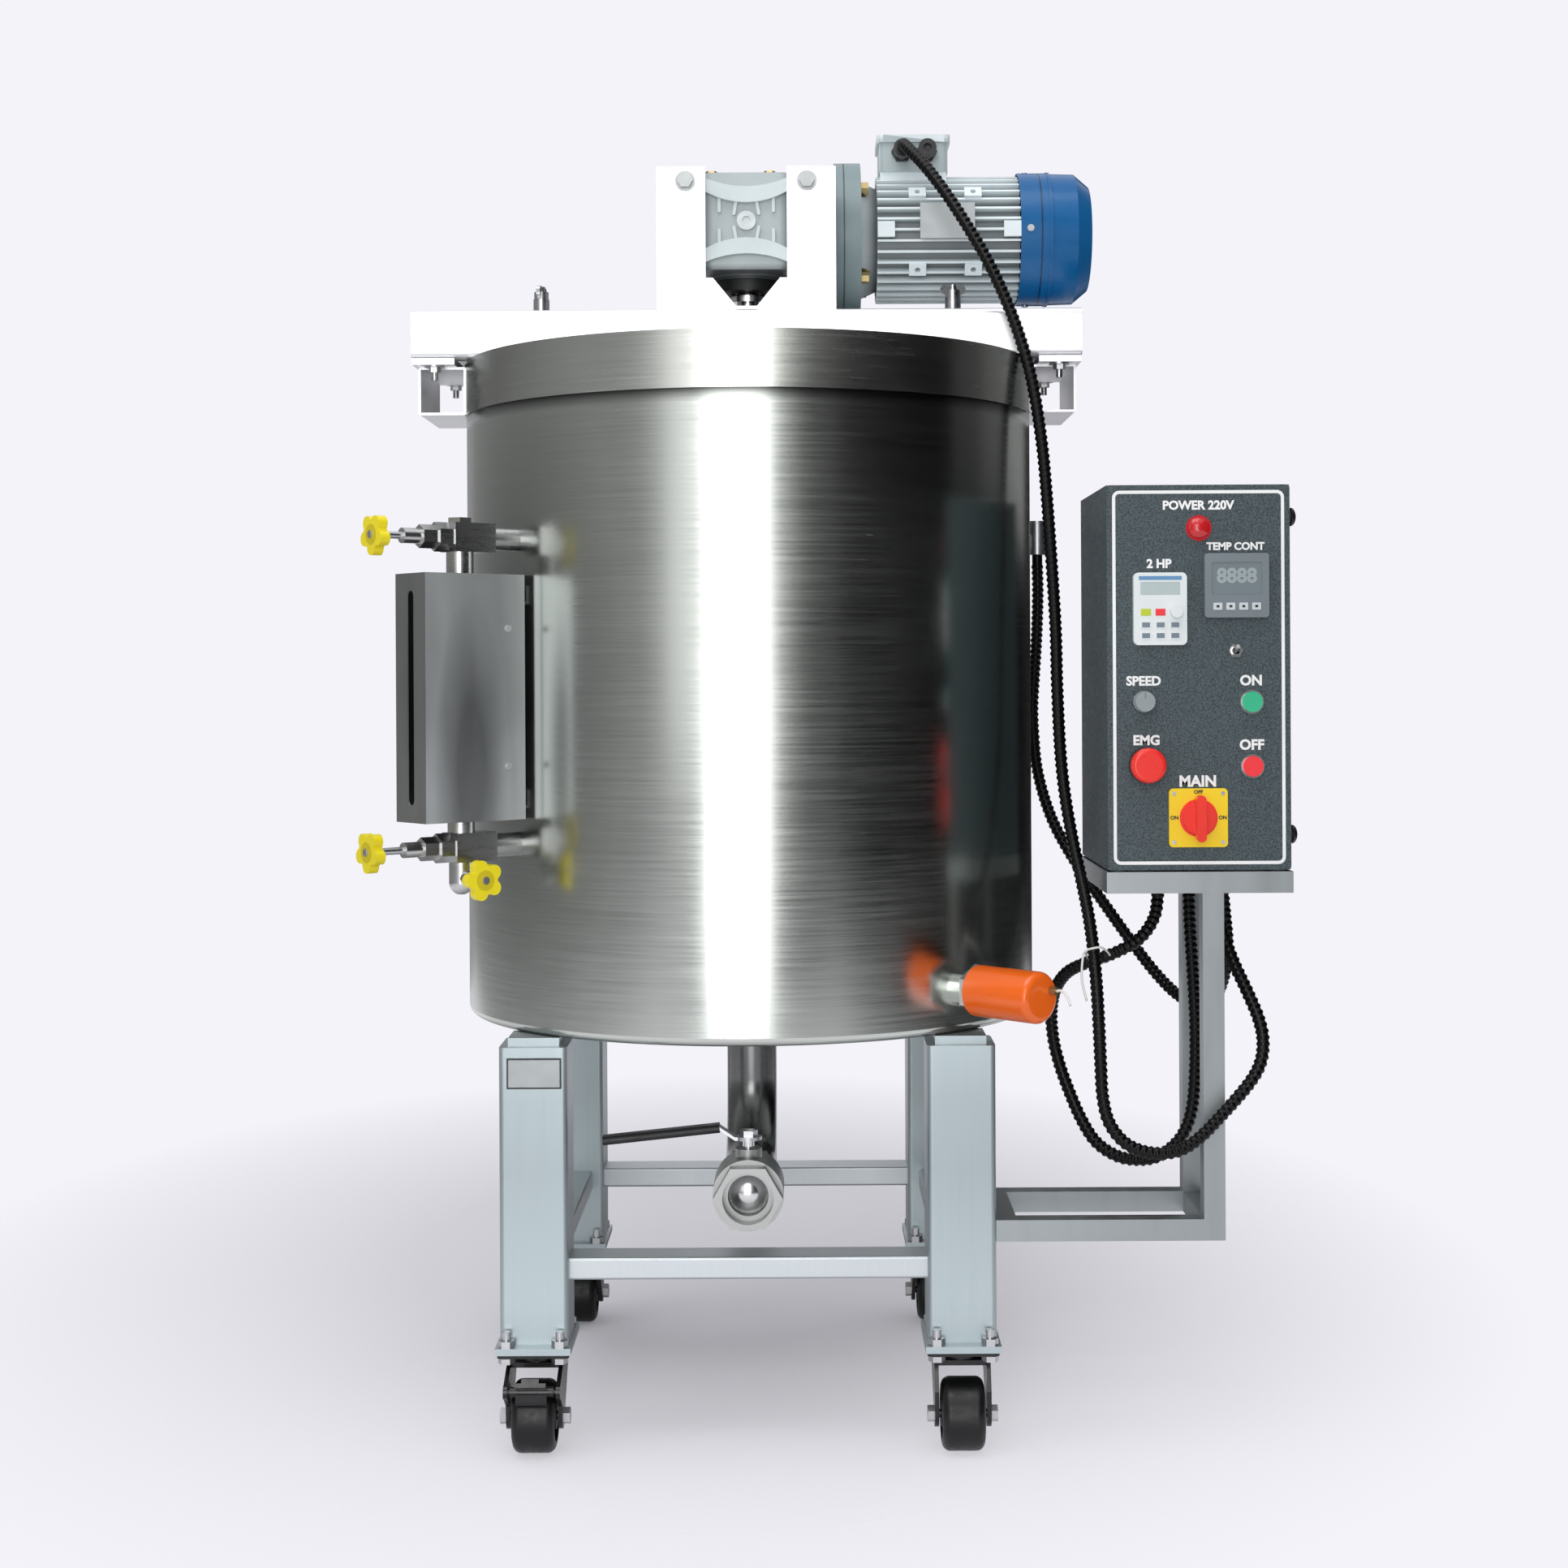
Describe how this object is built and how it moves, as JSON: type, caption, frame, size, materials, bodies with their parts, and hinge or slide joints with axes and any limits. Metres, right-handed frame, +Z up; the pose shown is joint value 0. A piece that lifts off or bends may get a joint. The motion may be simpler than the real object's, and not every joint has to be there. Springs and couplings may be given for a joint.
{
  "type": "chocolate_melting_tank",
  "caption": "Water-jacketed chocolate melting tank on casters with top geared-motor stirrer, level gauge, heater, drain valve and control box",
  "frame": {"origin": "on the floor under the tank's axis", "axes": "+Z up, +X right towards the control box, -Y front towards the drain valve's mouth"},
  "size_m": [1.0927, 0.7409, 1.608],
  "materials": {
    "brushed_steel": "brushed sheet, vertical grain",
    "satin_steel": "satin tube, light bluish",
    "bright_steel": "bright sheet",
    "zinc_steel": "plain turned steel",
    "grey_casting": "satin light grey paint",
    "blue_paint": "gloss blue paint",
    "box_paint": "speckled dark grey powder coat",
    "black_metal": "black satin paint",
    "black_rubber": "matt black tread",
    "black_plastic": "matt black moulding",
    "brass": "turned brass",
    "orange_plastic": "glossy orange moulding",
    "yellow_plastic": "glossy yellow moulding",
    "clear_glass": "clear",
    "dark_plastic": "dark grey moulding",
    "white_plastic": "white moulding",
    "red_plastic": "glossy red moulding",
    "green_plastic": "glossy green moulding",
    "grey_plastic": "grey moulding",
    "chrome": "polished"
  },
  "bodies": {
    "machine": {"base_frame": "satin_steel", "caster_plates": "black_metal", "outer_jacket": "brushed_steel", "inner_vessel": "brushed_steel", "lid": "brushed_steel", "cross_beam": "bright_steel", "fasteners": "zinc_steel", "gearbox_bracket": "bright_steel", "gearbox_housing": "grey_casting", "motor_frame": "grey_casting", "fan_cowl": "blue_paint", "terminal_box": "grey_casting", "cable_glands": "black_plastic", "gauge_valves": "zinc_steel", "gauge_glass": "clear_glass", "gauge_cover": "brushed_steel", "heater_element": "zinc_steel", "heater_cap": "orange_plastic", "drain_pipe": "brushed_steel", "drain_valve_body": "zinc_steel", "stand_frame": "satin_steel", "control_box": "box_paint", "side_plugs": "black_plastic", "drive_unit": "dark_plastic", "motor_conduit": "black_plastic", "heater_conduit": "black_plastic", "probe_conduit": "black_plastic"},
    "stirrer_body": {"stirrer": "brushed_steel", "worm_wheel": "brass"},
    "rotor_body": {"motor_rotor": "zinc_steel"},
    "door_body": {"box_door": "box_paint", "temperature_controller": "dark_plastic", "drive_keypad": "white_plastic", "pilot_lamp": "red_plastic", "control_bezels": "chrome"},
    "brake_body": {"brake_pedal": "black_metal"},
    "drain_body": {"drain_ball": "chrome", "drain_lever": "black_plastic"},
    "upper_gauge_body": {"upper_gauge_wheel": "yellow_plastic"},
    "lower_gauge_body": {"lower_gauge_wheel": "yellow_plastic"},
    "gauge_drain_body": {"gauge_drain_wheel": "yellow_plastic"},
    "wing_left_body": {"wing_nut_left": "zinc_steel"},
    "wing_right_body": {"wing_nut_right": "zinc_steel"},
    "on_body": {"on_button": "green_plastic"},
    "off_body": {"off_button": "red_plastic"},
    "stop_body": {"emergency_stop": "red_plastic"},
    "switch_body": {"main_switch": "red_plastic"},
    "speed_body": {"speed_knob": "grey_plastic"},
    "toggle_body": {"toggle_lever": "chrome"},
    "keypad_knob_body": {"keypad_knob": "grey_plastic"},
    "flap_body": {"filling_flap": "brushed_steel"},
    "fork_front_left": {"caster_fork_front_left": "black_metal"},
    "wheel_front_left": {"caster_wheel_front_left": "black_rubber"},
    "fork_front_right": {"caster_fork_front_right": "black_metal"},
    "wheel_front_right": {"caster_wheel_front_right": "black_rubber"},
    "fork_rear_left": {"caster_fork_rear_left": "black_metal"},
    "wheel_rear_left": {"caster_wheel_rear_left": "black_rubber"},
    "fork_rear_right": {"caster_fork_rear_right": "black_metal"},
    "wheel_rear_right": {"caster_wheel_rear_right": "black_rubber"}
  },
  "joints": [
    {"name": "stirrer_spin", "type": "hinge", "parent": "machine", "child": "stirrer_body", "pos_m": [0, 0, 1.478], "axis": [0, 0, 1], "continuous": true},
    {"name": "rotor_spin", "type": "hinge", "parent": "machine", "child": "rotor_body", "pos_m": [0, 0.063, 1.478], "axis": [1, 0, 0], "continuous": true},
    {"name": "swivel_front_left", "type": "hinge", "parent": "machine", "child": "fork_front_left", "pos_m": [-0.25, -0.25, 0.11], "axis": [0, 0, 1], "continuous": true},
    {"name": "roll_front_left", "type": "hinge", "parent": "fork_front_left", "child": "wheel_front_left", "pos_m": [-0.25, -0.278, 0.042], "axis": [1, 0, 0], "continuous": true},
    {"name": "swivel_front_right", "type": "hinge", "parent": "machine", "child": "fork_front_right", "pos_m": [0.25, -0.25, 0.11], "axis": [0, 0, 1], "continuous": true},
    {"name": "roll_front_right", "type": "hinge", "parent": "fork_front_right", "child": "wheel_front_right", "pos_m": [0.25, -0.278, 0.042], "axis": [1, 0, 0], "continuous": true},
    {"name": "swivel_rear_left", "type": "hinge", "parent": "machine", "child": "fork_rear_left", "pos_m": [-0.25, 0.25, 0.11], "axis": [0, 0, 1], "continuous": true},
    {"name": "roll_rear_left", "type": "hinge", "parent": "fork_rear_left", "child": "wheel_rear_left", "pos_m": [-0.25, 0.278, 0.042], "axis": [1, 0, 0], "continuous": true},
    {"name": "swivel_rear_right", "type": "hinge", "parent": "machine", "child": "fork_rear_right", "pos_m": [0.25, 0.25, 0.11], "axis": [0, 0, 1], "continuous": true},
    {"name": "roll_rear_right", "type": "hinge", "parent": "fork_rear_right", "child": "wheel_rear_right", "pos_m": [0.25, 0.278, 0.042], "axis": [1, 0, 0], "continuous": true},
    {"name": "brake_pedal_hinge", "type": "hinge", "parent": "fork_front_left", "child": "brake_body", "pos_m": [-0.25, -0.314, 0.08], "axis": [1, 0, 0], "range_deg": [0, 12]},
    {"name": "drain_lever_turn", "type": "hinge", "parent": "machine", "child": "drain_body", "pos_m": [0, -0.232, 0.295], "axis": [0, 0, 1], "range_deg": [0, 90]},
    {"name": "upper_gauge_turn", "type": "hinge", "parent": "machine", "child": "upper_gauge_body", "pos_m": [-0.39298, -0.32975, 1.07], "axis": [-0.766, -0.6428, 0], "range_deg": [0, 1080]},
    {"name": "lower_gauge_turn", "type": "hinge", "parent": "machine", "child": "lower_gauge_body", "pos_m": [-0.39298, -0.32975, 0.708], "axis": [-0.766, -0.6428, 0], "range_deg": [0, 1080]},
    {"name": "gauge_drain_turn", "type": "hinge", "parent": "machine", "child": "gauge_drain_body", "pos_m": [-0.31395, -0.30259, 0.672], "axis": [0.6428, -0.766, 0], "range_deg": [0, 1080]},
    {"name": "wing_left_turn", "type": "hinge", "parent": "machine", "child": "wing_left_body", "pos_m": [-0.26, -0.06, 1.3833], "axis": [0, 0, 1], "range_deg": [0, 1080]},
    {"name": "wing_right_turn", "type": "hinge", "parent": "machine", "child": "wing_right_body", "pos_m": [0.26, -0.06, 1.3833], "axis": [0, 0, 1], "range_deg": [0, 1080]},
    {"name": "door_hinge", "type": "hinge", "parent": "machine", "child": "door_body", "pos_m": [0.423, -0.282, 0.902], "axis": [0, 0, -1], "range_deg": [0, 110]},
    {"name": "on_press", "type": "slide", "parent": "door_body", "child": "on_body", "axis": [0, 1, 0], "range_m": [0, 0.004], "stiffness_N_per_m": 600},
    {"name": "off_press", "type": "slide", "parent": "door_body", "child": "off_body", "axis": [0, 1, 0], "range_m": [0, 0.004], "stiffness_N_per_m": 600},
    {"name": "stop_press", "type": "slide", "parent": "door_body", "child": "stop_body", "axis": [0, 1, 0], "range_m": [0, 0.005]},
    {"name": "main_switch_turn", "type": "hinge", "parent": "door_body", "child": "switch_body", "pos_m": [0.52807, -0.285, 0.7382], "axis": [0, 1, 0], "range_deg": [0, 90]},
    {"name": "speed_knob_turn", "type": "hinge", "parent": "door_body", "child": "speed_body", "pos_m": [0.46537, -0.285, 0.8741], "axis": [0, 1, 0], "range_deg": [-150, 150]},
    {"name": "toggle_tilt", "type": "hinge", "parent": "door_body", "child": "toggle_body", "pos_m": [0.57259, -0.285, 0.93305], "axis": [1, 0, 0], "range_deg": [0, 24]},
    {"name": "keypad_knob_turn", "type": "hinge", "parent": "door_body", "child": "keypad_knob_body", "pos_m": [0.50197, -0.285, 0.97872], "axis": [0, 1, 0], "range_deg": [-135, 135]},
    {"name": "flap_hinge", "type": "hinge", "parent": "machine", "child": "flap_body", "pos_m": [0, 0.1725, 1.3106], "axis": [1, 0, 0], "range_deg": [0, 90]}
  ],
  "couplings": [
    {"joint": "rotor_spin", "follows": "stirrer_spin", "ratio": 30}
  ]
}
